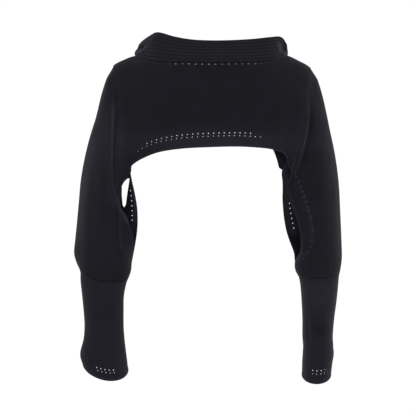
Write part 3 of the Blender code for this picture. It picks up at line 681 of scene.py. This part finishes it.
def collarSpots():
    shape, loop = collarShape, neckLoop()
    middle = np.array([across(shape["middle"][0]), shape["middle"][1], 0.0])
    outer = shape["ribs"] * shape["ribSteps"]
    profile = [(0.0, 0.3, 0.0)]
    for k in range(outer + 1):
        wave = abs(math.sin(math.pi * k / shape["ribSteps"])) ** 0.7
        profile.append((0.006 + 0.954 * k / outer, 0.5, wave))
    profile += [(0.985, 0.42, 0.0), (1.0, 0.2, 0.0), (1.0, -0.2, 0.0), (0.985, -0.42, 0.0)]
    for k in range(shape["innerRows"] + 1):
        profile.append((0.96 * (1.0 - k / shape["innerRows"]), -0.5, 0.0))
    profile.append((0.0, -0.3, 0.0))
    spots, flat, tones = [], [], []
    for k in range(shape["sections"]):
        place = len(loop) * k / shape["sections"]
        baseX, baseZ, baseDepth = spline(loop, place, closed=True)
        topX, topZ, topDepth = spline(shape["tops"], place, closed=True)
        share = min(max(0.5 + baseDepth / shape["cornerReach"], 0.0), 1.0)
        lift = shape["backLift"] + (shape["frontLift"] - shape["backLift"]) * share
        base = np.array([across(baseX), baseDepth, upward(baseZ) + lift])
        top = np.array([across(topX), topDepth, upward(topZ)])
        away = (base - middle) * np.array([1.0, 1.0, 0.0])
        away /= np.linalg.norm(away)
        for rise, offset, wave in profile:
            spot = base + (top - base) * rise + away * (offset * shape["wall"])
            x, z = drawnAt(spot)
            # the band is smooth where it turns over at its ends
            wave *= 1.0 - smoothStep(147.0 + 0.72 * (47.0 - z) - x, -2.0, 3.0) * (z < 49.0)
            wave *= 1.0 - smoothStep(x, 275.0, 279.0) * (z < 44.0)
            spot += away * (wave * shape["ribHeight"])
            pocket = pocketAt(shape, x, z) if offset > 0.0 and spot[1] < 12.0 else 0.0
            if spot[1] < 12.0:
                spot[1] += pocket
                for placeX, placeZ, spread, width in shape["swells"]:
                    near = math.exp(-((x - placeX) ** 2 + (z - placeZ) ** 2) / spread ** 2)
                    spot[0] += width * near
            spots.append(spot)
            # the ribs get a painted highlight on their crests and painted shade in their grooves
            ribbed = 0.0 < rise < 0.97 and offset > 0.4
            tone = shape["ribHighlight"] * wave - shape["grooveShade"] if ribbed else 0.0
            # pockets get painted shade and their rims a painted highlight
            tones.append(tone - shape["shade" if pocket > 0.0 else "shine"] * pocket)
            face = 1 if offset > 0 else -1
            flat.append((shape["sectionWidth"] * k, np.linalg.norm(top - base) * rise * face))
    return np.array(spots), np.array(flat), np.array(tones), len(profile)


# ---- yarn and knit surfaces
def linearColour(code):
    parts = [int(code[k:k + 2], 16) / 255.0 for k in (1, 3, 5)]
    return [p / 12.92 if p <= 0.04045 else ((p + 0.055) / 1.055) ** 2.4 for p in parts] + [1.0]


def addNode(tree, kind, links=(), **settings):
    node = tree.nodes.new(kind)
    for key, value in settings.items():
        setattr(node, key, value)
    for socket, place in links:
        tree.links.new(socket, node.inputs[place])
    return node


def calculate(tree, operation, first, second=None):
    node = addNode(tree, "ShaderNodeMath", operation=operation)
    for place, value in enumerate((first, second)):
        if value is None:
            continue
        if isinstance(value, (int, float)):
            node.inputs[place].default_value = value
        else:
            tree.links.new(value, node.inputs[place])
    return node.outputs[0]


# Plain knit in a fine matt black yarn: stitches stand in upright chains, each a small V, and a
# short nap catches light where the cloth turns away. Sizes are in millimetres on the cloth. The
# real chains are about 1.3 mm wide and the courses about 1 mm high, which is too fine for the
# picture, so all three knits are drawn coarser.
fineKnit = {
    "wale": 2.6, "course": 2.3, "slant": 0.55, "bump": 0.55, "depth": 0.5,
    "deep": "#060609", "raised": "#0c0c11", "paler": "#202027", "worn": 0.20, "roughness": 0.93,
    "sheen": 0.09, "sheenRoughness": 0.42, "sheenColour": "#bcbdc9", "specular": 0.05,
    "patch": 34.0, "fuzz": 1.1,
}
# The same yarn knitted closer, with level courses that show as fine lines across the forearm,
# again drawn coarser.
cuffKnit = {
    "wale": 2.4, "course": 4.2, "slant": 0.12, "bump": 0.45, "depth": 0.4,
    "deep": "#060609", "raised": "#0c0c11", "paler": "#212128", "worn": 0.34, "roughness": 0.93,
    "sheen": 0.10, "sheenRoughness": 0.42, "sheenColour": "#bdbdc8", "specular": 0.05,
    "patch": 40.0, "fuzz": 1.1,
}
# Doubled rib band: the ribs are modelled, and the stitches on them are close and firm.
ribKnit = {
    "wale": 2.2, "course": 2.0, "slant": 0.5, "bump": 0.5, "depth": 0.4,
    "deep": "#060609", "raised": "#0c0c11", "paler": "#222126", "worn": 0.33, "roughness": 0.93,
    "sheen": 0.10, "sheenRoughness": 0.42, "sheenColour": "#bdbdc8", "specular": 0.05,
    "patch": 26.0, "fuzz": 1.0,
}


def knitSurface(name, knit):
    made = bpy.data.materials.new(name)
    made.use_nodes = True
    tree = made.node_tree

    def reckon(operation, first, second=None):
        return calculate(tree, operation, first, second)

    shader = tree.nodes["Principled BSDF"]
    onCloth = addNode(tree, "ShaderNodeUVMap", uv_map="knit").outputs[0]
    split = addNode(tree, "ShaderNodeSeparateXYZ", [(onCloth, 0)])
    wale = reckon("MULTIPLY", split.outputs[0], 1000.0 / knit["wale"])
    course = reckon("MULTIPLY", split.outputs[1], 1000.0 / knit["course"])
    leg = reckon("FRACT", wale)
    leg = reckon("ABSOLUTE", reckon("SUBTRACT", leg, 0.5))
    leg = reckon("MULTIPLY", leg, 2.0)
    slanted = reckon("ADD", course, reckon("MULTIPLY", leg, knit["slant"]))
    wave = reckon("SINE", reckon("MULTIPLY", slanted, 2.0 * math.pi))
    wave = reckon("ADD", reckon("MULTIPLY", wave, 0.5), 0.5)
    groove = reckon("SUBTRACT", 1.0, reckon("POWER", leg, 3.0))
    stitch = reckon("MULTIPLY", wave, groove)
    place = addNode(tree, "ShaderNodeTexCoord").outputs["Object"]
    fuzz, patch = [addNode(tree, "ShaderNodeTexNoise", [(place, "Vector")]) for _ in range(2)]
    for noise, size, detail in ((fuzz, knit["fuzz"], 3.0), (patch, knit["patch"], 4.0)):
        noise.inputs["Scale"].default_value = 1000.0 / size
        noise.inputs["Detail"].default_value = detail
    paintedLight = addNode(tree, "ShaderNodeAttribute", attribute_name="paintedLight").outputs["Fac"]
    height = reckon("ADD", stitch, reckon("MULTIPLY", fuzz.outputs[0], 0.9))
    bump = addNode(tree, "ShaderNodeBump", [(height, "Height")])
    bump.inputs["Strength"].default_value = knit["bump"]
    bump.inputs["Distance"].default_value = knit["depth"] / 1000.0
    tree.links.new(bump.outputs[0], shader.inputs["Normal"])
    # painted shade: the yarn is drawn darker down in the stitches' grooves than on their tops, and
    # the fuzz varies its tone at random
    share = reckon("MULTIPLY", stitch, 0.62)
    share = reckon("ADD", share, reckon("MULTIPLY", fuzz.outputs[0], 0.45))
    yarn = addNode(tree, "ShaderNodeMix", [(share, 0)], data_type="RGBA")
    yarn.inputs[6].default_value = linearColour(knit["deep"])
    yarn.inputs[7].default_value = linearColour(knit["raised"])
    # the yarn is mixed towards its paler colour by a base amount, by random patches and by the
    # painted light and shade that the points carry
    light = reckon("MULTIPLY", reckon("SUBTRACT", patch.outputs[0], 0.5), 0.22)
    light = reckon("ADD", reckon("ADD", light, knit["worn"]), paintedLight)
    light = reckon("MINIMUM", reckon("MAXIMUM", light, 0.0), 1.0)
    worn = addNode(tree, "ShaderNodeMix", [(light, 0), (yarn.outputs[2], 6)], data_type="RGBA")
    worn.inputs[7].default_value = linearColour(knit["paler"])
    tree.links.new(worn.outputs[2], shader.inputs["Base Color"])
    for place, value in (("Roughness", "roughness"), ("Specular IOR Level", "specular"),
                         ("Sheen Weight", "sheen"), ("Sheen Roughness", "sheenRoughness")):
        shader.inputs[place].default_value = knit[value]
    shader.inputs["Sheen Tint"].default_value = linearColour(knit["sheenColour"])
    return made


plainKnitBlack = knitSurface("plainKnitBlackYarn", fineKnit)
levelKnitBlack = knitSurface("levelKnitBlackYarn", cuffKnit)
ribKnitBlack = knitSurface("doubledRibBlackYarn", ribKnit)
print("knit surfaces made")

# Soft painted highlights and painted shade on the cloth: x, z, spreadX, spreadZ, amount, side.
paintedLightPlaces = [
    (189, 87, 7, 2.2, 0.14, -1), (231, 87, 6, 2.6, 0.14, -1),
    (318, 294, 18, 16, 0.20, -1), (319, 329, 8, 9, -0.14, -1),
    (210, 143, 90, 12, 0.36, -1), (165, 80, 30, 14, 0.03, -1),
    (300, 120, 5, 30, 0.06, -1),
    (92, 150, 8, 40, 0.08, -1), (105, 240, 18, 34, 0.13, -1),
    (318, 240, 16, 34, 0.07, -1),
    (121, 140, 5, 30, 0.30, -1),
    (200, 110, 40, 20, 0.06, 1), (100, 300, 12, 20, 0.07, 1),
    (320, 300, 12, 24, 0.07, 1), (212, 52, 60, 8, 0.05, -1),
]
# Painted highlights along the edges of folds and painted shade in the hollows beside them: points,
# spread, amount, side.
paintedLightLines = [
    ([(118.4, 100), (115.4, 110), (113.9, 124), (113.3, 140), (113.2, 156), (113.8, 172),
      (116.4, 189), (120.8, 207), (127.6, 221)], 2.6, 0.46, -1),
    ([(112, 100), (108.6, 115), (107.4, 135), (107.6, 160), (109.6, 185), (114, 205)],
     3, 0.20, -1),
    ([(306.6, 98), (307.4, 110), (306.8, 124), (303.8, 142), (299.6, 160), (293.4, 177)],
     1.1, 0.38, -1),
    ([(311, 100), (311.5, 114), (310.5, 130), (307, 148), (302, 166)], 2.2, -0.14, -1),
    # the second layer's line inside the left sleeve: painted shade beside a painted highlight
    ([(119.6, 206), (118.6, 224), (118.9, 240), (121.6, 264)], 1, -0.20, -1),
    ([(121.4, 208), (120.4, 226), (120.7, 242), (123.2, 264)], 0.9, 0.35, -1),
    ([(96, 140), (88, 172), (84, 205), (82.6, 235), (82.5, 264)], 3.4, 0.22, -1),
    # painted light on the inside of the front layer, seen past the armholes
    ([(131, 178), (133.6, 194), (134.6, 208), (134, 222), (131, 238)], 3.4, 0.75, 1),
    ([(280, 152), (284.5, 165), (287, 180), (288, 200), (290.5, 215), (294, 232)],
     4.6, 0.70, 1),
    # the elbow seams, drawn in a little with painted shade
    ([(81, 266), (84.5, 272.5), (92, 277.8), (104.7, 280.9), (118, 281.6), (125.5, 281)],
     0.7, -0.4, -1),
    ([(299.6, 276), (308, 277.2), (318, 277.8), (328, 277.4), (337.8, 275.8)],
     0.7, -0.4, -1),
    # a painted highlight on the collar's smooth turn at its left end
    ([(141.5, 43.5), (150, 37.5), (156.5, 34.5)], 2.6, 0.30, -1),
]


# painted light and shade at each point, from the places and lines above
def paintedLightAt(points):
    # the side facing the camera (-1) or away from it (1) fades over this depth
    x, z, blend = *drawnAt(points), 30.0
    value = np.zeros(len(points))
    for placeX, placeZ, spreadX, spreadZ, amount, side in paintedLightPlaces:
        near = np.exp(-((x - placeX) / spreadX) ** 2 - ((z - placeZ) / spreadZ) ** 2)
        value += amount * near * np.clip(0.5 + side * points[:, 1] / blend, 0.0, 1.0)
    for path, spread, amount, side in paintedLightLines:
        nearest = np.full(len(points), 1e9)
        for (startX, startZ), (endX, endZ) in zip(path[:-1], path[1:]):
            dx, dz = endX - startX, endZ - startZ
            part = np.clip(((x - startX) * dx + (z - startZ) * dz) / (dx * dx + dz * dz), 0.0, 1.0)
            away = np.hypot(x - startX - part * dx, z - startZ - part * dz)
            nearest = np.minimum(nearest, away)
        # a long line fades in from its first point
        long = math.dist(path[0], path[-1]) > 60.0
        fade = smoothStep(z, path[0][1] - 4.0, path[0][1] + 14.0) if long else 1.0
        near = np.exp(-(nearest / spread) ** 2) * fade
        value += amount * near * np.clip(0.5 + side * points[:, 1] / blend, 0.0, 1.0)
    return value


# ---- meshes
def eyeletRow(grid, row, pitch, radius, first, last, closed=False, rim=0.30):
    # spaced along one row of the grid; each takes the columns that give its edge room
    line = grid[:, row]
    if closed:
        line = np.concatenate([line[-9:], line, line[:10]])
    length = lengthsAlong(line)
    start = length[9] if closed else 0.0
    total = length[-10] - start if closed else length[-1]
    if closed:
        count = round(total / pitch)
        places = start + (np.arange(count) + 0.5) * total / count
    else:
        places = np.arange(first + 0.5 * pitch, total * last, pitch)
    room = eyelets["room"]
    spots = []
    for place in places:
        middle = int(np.argmin(np.abs(length - place)))
        low, high = middle, middle
        while low > 0 and place - length[low] < room:
            low -= 1
        while high < len(length) - 1 and length[high] - place < room:
            high += 1
        if place - length[low] < room or length[high] - place < room:
            continue
        centre = np.array([np.interp(place, length, line[:, k]) for k in range(3)])
        shift = 9 if closed else 0
        spots.append((low - shift, high - shift, row, centre, radius, rim))
    return spots


def knitPiece(name, grid, outward, flat, spots, surface, tone, wrap=None):
    if not facingOut(grid, outward, closed=bool(wrap)):
        grid, flat, spots = turned(grid, flat, spots)
        tone, wrap = tone[::-1], -wrap if wrap else None
    lines, count = grid.shape[:2]
    points = [tuple(p) for p in grid.reshape(-1, 3)]
    tones = list(tone.reshape(-1))
    faces, corners = [], []

    def index(i, j):
        return (i % lines) * count + j

    def onCloth(i, j):
        turned = wrap * (i // lines) if wrap else 0.0
        return flat[i % lines, j] + np.array([turned, 0.0])

    taken = set()
    holes = 0
    for low, high, row, centre, radius, rim in spots:
        cells = {((i % lines) if wrap else i, j) for i in range(low, high) for j in (row - 1, row)}
        if cells & taken or (not wrap and (low < 0 or high > lines - 1)):
            continue
        taken |= cells
        edge = [(i, row - 1) for i in range(low, high + 1)] + [(high, row)]
        edge += [(i, row + 1) for i in range(high, low - 1, -1)] + [(low, row)]
        right = grid[high % lines, row] - grid[low % lines, row]
        width = np.linalg.norm(right)
        right = right / width
        middle = ((low + high) // 2) % lines
        rise = grid[middle, row + 1] - grid[middle, row - 1]
        height = np.linalg.norm(rise)
        rise = rise - right * np.dot(rise, right)
        rise /= np.linalg.norm(rise)
        flatRight = (onCloth(high, row) - onCloth(low, row)) / width
        flatRise = (onCloth(low, row + 1) - onCloth(low, row - 1)) / height
        part = np.dot(centre - grid[low % lines, row], right)
        flatCentre = onCloth(low, row) + flatRight * part
        ringStart = len(points)
        ringFlat = []
        for i, j in edge:
            gap = grid[i % lines, j] - centre
            a, b = np.dot(gap, right), np.dot(gap, rise)
            size = math.hypot(a, b)
            a, b = a / size * radius, b / size * radius
            points.append(tuple(centre + right * a + rise * b))
            # the ring round each eyelet takes its rim amount as a painted highlight
            tones.append(rim)
            ringFlat.append(flatCentre + flatRight * a + flatRise * b)
        total = len(edge)
        for k in range(total):
            nxt = (k + 1) % total
            faces.append((index(*edge[k]), index(*edge[nxt]), ringStart + nxt, ringStart + k))
            corners.append((onCloth(*edge[k]), onCloth(*edge[nxt]), ringFlat[nxt], ringFlat[k]))
        holes += 1
    for i in range(lines if wrap else lines - 1):
        for j in range(count - 1):
            if (i, j) in taken:
                continue
            square = [(i, j), (i + 1, j), (i + 1, j + 1), (i, j + 1)]
            faces.append(tuple(index(*s) for s in square))
            corners.append(tuple(onCloth(*s) for s in square))
    return clothObject(name, points, faces, corners, surface, tones, cloth["thickness"], holes)


def clothObject(name, points, faces, corners, surface, tones, thickness, holes=0):
    mesh = bpy.data.meshes.new(name)
    mesh.from_pydata([tuple(0.001 * v for v in p) for p in points], [], faces)
    layer = mesh.uv_layers.new(name="knit")
    layer.data.foreach_set("uv", 0.001 * np.array(corners).reshape(-1))
    # each point carries painted light and shade: the painted places and lines, and the piece's own
    # painted tones
    paintedLight = mesh.attributes.new("paintedLight", "FLOAT", "POINT")
    paintedLight.data.foreach_set("value", paintedLightAt(np.array(points)) + np.array(tones))
    mesh.polygons.foreach_set("use_smooth", [True] * len(mesh.polygons))
    mesh.update()
    piece = bpy.data.objects.new(name, mesh)
    bpy.context.collection.objects.link(piece)
    mesh.materials.append(surface)
    bpy.ops.object.select_all(action="DESELECT")
    bpy.context.view_layer.objects.active = piece
    piece.select_set(True)
    if thickness:
        wall = piece.modifiers.new("thickness", "SOLIDIFY")
        wall.thickness = thickness / 1000.0
        wall.offset = 0.0
        bpy.ops.object.modifier_apply(modifier="thickness")
    finer = piece.modifiers.new("finer", "SUBSURF")
    finer.levels = finer.render_levels = cloth["subdivisions"]
    bpy.ops.object.modifier_apply(modifier="finer")
    mesh = piece.data
    mesh.calc_loop_triangles()
    area = sum(polygon.area for polygon in mesh.polygons) / 2.0
    print(name, len(mesh.loop_triangles), "triangles,", holes, "eyelets,", round(area, 4), "m2")
    return piece


def facingOut(grid, outward, closed=False):
    first = np.roll(grid, -1, axis=0) - grid if closed else np.gradient(grid, axis=0)
    return np.sum(np.cross(first, np.gradient(grid, axis=1)) * outward) > 0.0


def turned(grid, flat, spots):
    # the columns in the other order, so that the faces look outwards
    count = len(grid)
    spots = [(count - 1 - high, count - 1 - low, *rest) for low, high, *rest in spots]
    return grid[::-1], flat[::-1], spots


# The opening through the front of the left sleeve, beside the armhole: its outline on the drawing.
sleeveSlit = {
    "outline": [(121, 183), (125.6, 178.6), (128.2, 177.8), (128.4, 180), (126.4, 193.5),
                (124.9, 204.8), (123.4, 207.3), (121.8, 205), (120.9, 195)],
    "near": 35, "far": 130,
}


def cutSlit(piece):
    outline = sleeveSlit["outline"]
    count = len(outline)
    points = [(0.001 * across(x), 0.001 * depth, 0.001 * upward(z))
              for depth in (sleeveSlit["near"], sleeveSlit["far"]) for x, z in outline]
    faces = [tuple(range(count - 1, -1, -1)), tuple(range(count, 2 * count))]
    faces += [(k, (k + 1) % count, (k + 1) % count + count, k + count) for k in range(count)]
    mesh = bpy.data.meshes.new("slitCutter")
    mesh.from_pydata(points, [], faces)
    cutter = bpy.data.objects.new("slitCutter", mesh)
    bpy.context.collection.objects.link(cutter)
    cut = piece.modifiers.new("slit", "BOOLEAN")
    cut.operation = "DIFFERENCE"
    cut.solver = "EXACT"
    cut.object = cutter
    bpy.context.view_layer.objects.active = piece
    bpy.ops.object.modifier_apply(modifier="slit")
    bpy.data.objects.remove(cutter)
    bpy.data.meshes.remove(mesh)


def dress(piece, node, slotName, **sheet):
    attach(piece, "root")
    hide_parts(node)


def makePanel(name, shape, node, sheet):
    grid, outward, flat, places, tone = panelGrid(shape)
    spots = []
    for size, radius in (("large", eyelets["radius"]), ("small", eyelets["small"])):
        spots += eyeletRow(grid, backBorder[size], eyelets["pitch"], radius, 2.0, 1.0)
    first, last = shape["eyeletsFrom"], shape["eyeletsTo"]
    spots = [s for s in spots if first < drawnAt(s[3])[0] < last]
    # drawn tighter towards the left, where they show smaller
    spots = [(*s[:4], s[4] * (0.80 + 0.20 * smoothStep(drawnAt(s[3])[0], 168.0, 190.0)), s[5])
             for s in spots]
    neckRow = grid.shape[1] - 4
    low, high = np.searchsorted(places, (5.2, 14.8))
    neck = eyeletRow(grid[low:high], neckRow, eyelets["neckPitch"], eyelets["neck"], -1.6, 1.0,
                     rim=0.8)
    spots += [(a + low, b + low, *rest) for a, b, *rest in neck]
    piece = knitPiece(name, grid, outward, flat, spots, plainKnitBlack, tone)
    dress(piece, node, "fine_knit", **sheet)
    return piece


def makeSleeve(name, shape, node, sheet):
    grid, outward, flat, tone = sleeveGrid(shape)
    count = grid.shape[1]
    opened = sum(np.linalg.norm(line[0] - line[-1]) > 6.0 for line in grid)
    large, small, pitch = eyelets["radius"], eyelets["small"], eyelets["pitch"]
    rims = shape["eyeletRims"]
    spots = eyeletRow(grid[:opened], backBorder["large"], pitch, large, 4.0, 1.0, rim=rims[0])
    spots += eyeletRow(grid[:opened], backBorder["small"], pitch, small, 4.0, 1.0, rim=rims[1])
    front = eyeletRow(grid[:opened], count - 1 - shape["frontEyeletRow"], pitch, large, 4.0, 1.0)
    first, last = shape["frontEyeletsFrom"], shape["frontEyeletsTo"]
    spots += [s for s in front if first < drawnAt(s[3])[1] < last]
    piece = knitPiece(name, grid, outward, flat, spots, plainKnitBlack, tone)
    if shape["outward"] > 0.0:
        cutSlit(piece)
    dress(piece, node, "fine_knit", **sheet)
    return piece


def makeCuff(name, shape, node, sheet):
    grid, outward, flat, around, tone = cuffGrid(shape)
    count = grid.shape[1]
    spots, pitch = [], eyelets["cuffPitch"]
    for row, radius in ((count - 8, eyelets["radius"]), (count - 6, eyelets["small"])):
        spots += eyeletRow(grid, row, pitch, radius, 0.0, 1.0, closed=True)
    first, last = shape["eyeletsFrom"], shape["eyeletsTo"]
    spots = [s for s in spots if first < drawnAt(s[3])[0] < last]
    piece = knitPiece(name, grid, outward, flat, spots, levelKnitBlack, tone, wrap=around)
    dress(piece, node, "cuff_knit", **sheet)
    return piece


backPiece = makePanel("backPanel", backPanelShape, "back",
                      {"flat": (0.458, 0.305), "held": "hung", "area": 0.084})
frontPiece = makePanel("frontPanel", frontPanelShape, "front",
                       {"flat": (0.436, 0.247), "held": "hung", "area": 0.062})
leftSleeve = makeSleeve("sleeveLeft", leftSleeveShape, "sleeve_left",
                        {"flat": (0.315, 0.502), "held": "hung", "area": 0.098})
rightSleeve = makeSleeve("sleeveRight", rightSleeveShape, "sleeve_right",
                         {"flat": (0.290, 0.421), "held": "hung", "area": 0.095})
leftCuff = makeCuff("cuffLeft", leftCuffShape, "cuff_left",
                    {"flat": (0.257, 0.199), "held": "hung", "area": 0.043})
rightCuff = makeCuff("cuffRight", rightCuffShape, "cuff_right",
                     {"flat": (0.224, 0.212), "held": "hung", "area": 0.045})
print("body, sleeves and cuffs made")


def makeCollar():
    spots, flat, tones, count = collarSpots()
    sections = collarShape["sections"]
    whole = np.array([collarShape["sectionWidth"] * sections, 0.0])
    faces, corners = [], []
    for k in range(sections):
        for j in range(count):
            square = [(k, j), (k + 1, j), (k + 1, j + 1), (k, j + 1)]
            faces.append(tuple((a % sections) * count + b % count for a, b in square))
            corners.append(tuple(flat[(a % sections) * count + b % count] + whole * (a // sections)
                                 for a, b in square))
    piece = clothObject("collarBand", spots, faces, corners, ribKnitBlack, tones, 0.0)
    dress(piece, "collar", "ribbed_knit", flat=(0.61, 0.052), held="folded", area=0.031)
    return piece


collarPiece = makeCollar()
print("collar made")


# ---- studio
studio = {
    "floorZ": -1.45, "half": 9.0, "floor": "#e4e4e6", "world": 1.02, "distance": 7.0, "seen": 0.832,
    "aim": (-0.004, 0.0, -0.284), "sensor": 36.0, "clipEnd": 60.0,
}


def makeFloor():
    half, low = studio["half"], studio["floorZ"]
    mesh = bpy.data.meshes.new("studioFloor")
    mesh.from_pydata([(-half, -half, low), (half, -half, low), (half, half, low), (-half, half, low)],
                     [], [(0, 1, 2, 3)])
    floor = bpy.data.objects.new("studioFloor", mesh)
    bpy.context.collection.objects.link(floor)
    paper = bpy.data.materials.new("matteWhitePaper")
    paper.use_nodes = True
    shader = paper.node_tree.nodes["Principled BSDF"]
    shader.inputs["Base Color"].default_value = linearColour(studio["floor"])
    shader.inputs["Roughness"].default_value = 0.95
    mesh.materials.append(paper)


def addSoftLight(name, place, aim, size, power):
    light = bpy.data.lights.new(name, "AREA")
    light.shape = "RECTANGLE"
    light.size, light.size_y, light.energy = *size, power
    holder = bpy.data.objects.new(name, light)
    bpy.context.collection.objects.link(holder)
    dx, dy, dz = (a - p for a, p in zip(aim, place))
    holder.location = place
    holder.rotation_euler = (math.atan2(math.hypot(dx, dy), -dz), 0.0, math.atan2(-dx, dy))


def makeCamera():
    lens = bpy.data.cameras.new("backView")
    lens.sensor_width = studio["sensor"]
    lens.lens = studio["sensor"] * studio["distance"] / studio["seen"]
    lens.clip_end = studio["clipEnd"]
    holder = bpy.data.objects.new("backView", lens)
    bpy.context.collection.objects.link(holder)
    aimX, aimY, aimZ = studio["aim"]
    holder.location = (aimX, aimY - studio["distance"], aimZ)
    holder.rotation_euler = (math.pi / 2.0, 0.0, 0.0)
    bpy.context.scene.camera = holder


makeFloor()
for softLight in [
    # name, place, aim, size, power
    ("keyLeft", (-2.6, -3.4, 1.6), (0.0, 0.0, -0.25), (1.6, 2.2), 55.0),
    ("fillRight", (2.9, -2.6, 0.8), (0.0, 0.0, -0.25), (1.6, 2.4), 45.0),
    ("frontFill", (0.4, -6.2, 0.3), (0.0, 0.0, -0.3), (2.6, 1.8), 105.0),
    ("rimLeft", (-2.6, 0.9, 0.2), (0.0, 0.0, -0.3), (0.9, 2.6), 40.0),
    ("rimRight", (2.6, 0.9, 0.2), (0.0, 0.0, -0.3), (0.9, 2.6), 48.0),
]:
    addSoftLight(*softLight)
world = bpy.data.worlds.new("studioAir")
bpy.context.scene.world = world
world.use_nodes = True
air = world.node_tree.nodes["Background"]
air.inputs[0].default_value, air.inputs[1].default_value = (1.0, 1.0, 1.0, 1.0), studio["world"]
bpy.context.scene.view_settings.view_transform = "Standard"
makeCamera()
print("studio made")
